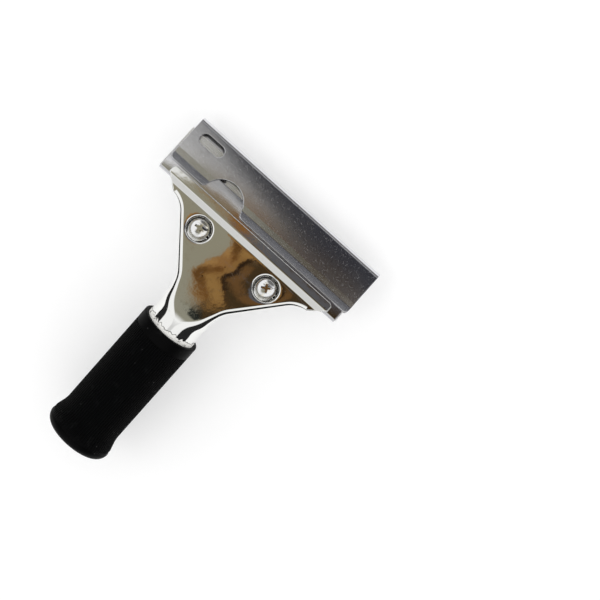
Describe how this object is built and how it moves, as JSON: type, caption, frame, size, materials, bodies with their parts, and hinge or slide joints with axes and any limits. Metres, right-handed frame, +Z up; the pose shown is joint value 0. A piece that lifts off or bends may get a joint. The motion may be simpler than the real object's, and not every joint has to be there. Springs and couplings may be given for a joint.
{
  "type": "glass scraper",
  "caption": "Glass scraper with a wide blade clamped in the lips of a stamped metal fan, a folded blade guard and a ribbed rubber grip.",
  "frame": {"origin": "on the floor under the middle of the object's box, as it lies on the fold of its guard and the end of its grip", "axes": "+X to the right along the blade, +Y from the grip towards the blade, +Z up, with the dished heads of the screws on top"},
  "size_m": [0.1014, 0.1416, 0.0325],
  "materials": {
    "chrome": "bright chrome plate on a steel sheet",
    "stainless": "scratched, half bright",
    "blade_steel": "ground and oiled",
    "zinc": "bright zinc plate",
    "rubber": "matt, with fine ribs"
  },
  "bodies": {
    "handle": {"handle_body": "chrome", "grip_sleeve": "rubber", "washer_left": "zinc", "washer_right": "zinc"},
    "screw_left": {"screw_left": "zinc"},
    "screw_right": {"screw_right": "zinc"},
    "jaw": {"clamp_jaw": "chrome", "nut_left": "zinc", "nut_right": "zinc"},
    "channel": {"blade_channel": "stainless"},
    "blade": {"blade": "blade_steel"},
    "guard": {"blade_guard": "stainless"}
  },
  "joints": [
    {"name": "screw_left_turn", "type": "hinge", "parent": "handle", "child": "screw_left", "pos_m": [-0.0197, 0.03675, 0.01761], "axis": [0, 0.3941, 0.9191], "range_deg": [0, 720]},
    {"name": "screw_right_turn", "type": "hinge", "parent": "handle", "child": "screw_right", "pos_m": [0.0183, 0.03675, 0.01761], "axis": [0, 0.3941, 0.9191], "range_deg": [0, 720]},
    {"name": "jaw_drop", "type": "slide", "parent": "handle", "child": "jaw", "axis": [0, -0.3941, -0.9191], "range_m": [0, 0.0014]},
    {"name": "channel_slide", "type": "slide", "parent": "handle", "child": "channel", "axis": [1, 0, 0], "range_m": [0, 0.1]},
    {"name": "blade_slide", "type": "slide", "parent": "channel", "child": "blade", "axis": [1, 0, 0], "range_m": [0, 0.1]},
    {"name": "guard_slide", "type": "slide", "parent": "channel", "child": "guard", "axis": [0, 0.9191, -0.3941], "range_m": [0, 0.025]}
  ],
  "couplings": [
    {"joint": "screw_left_turn", "follows": "jaw_drop", "rad_per_m": 8976},
    {"joint": "screw_right_turn", "follows": "jaw_drop", "rad_per_m": 8976}
  ]
}
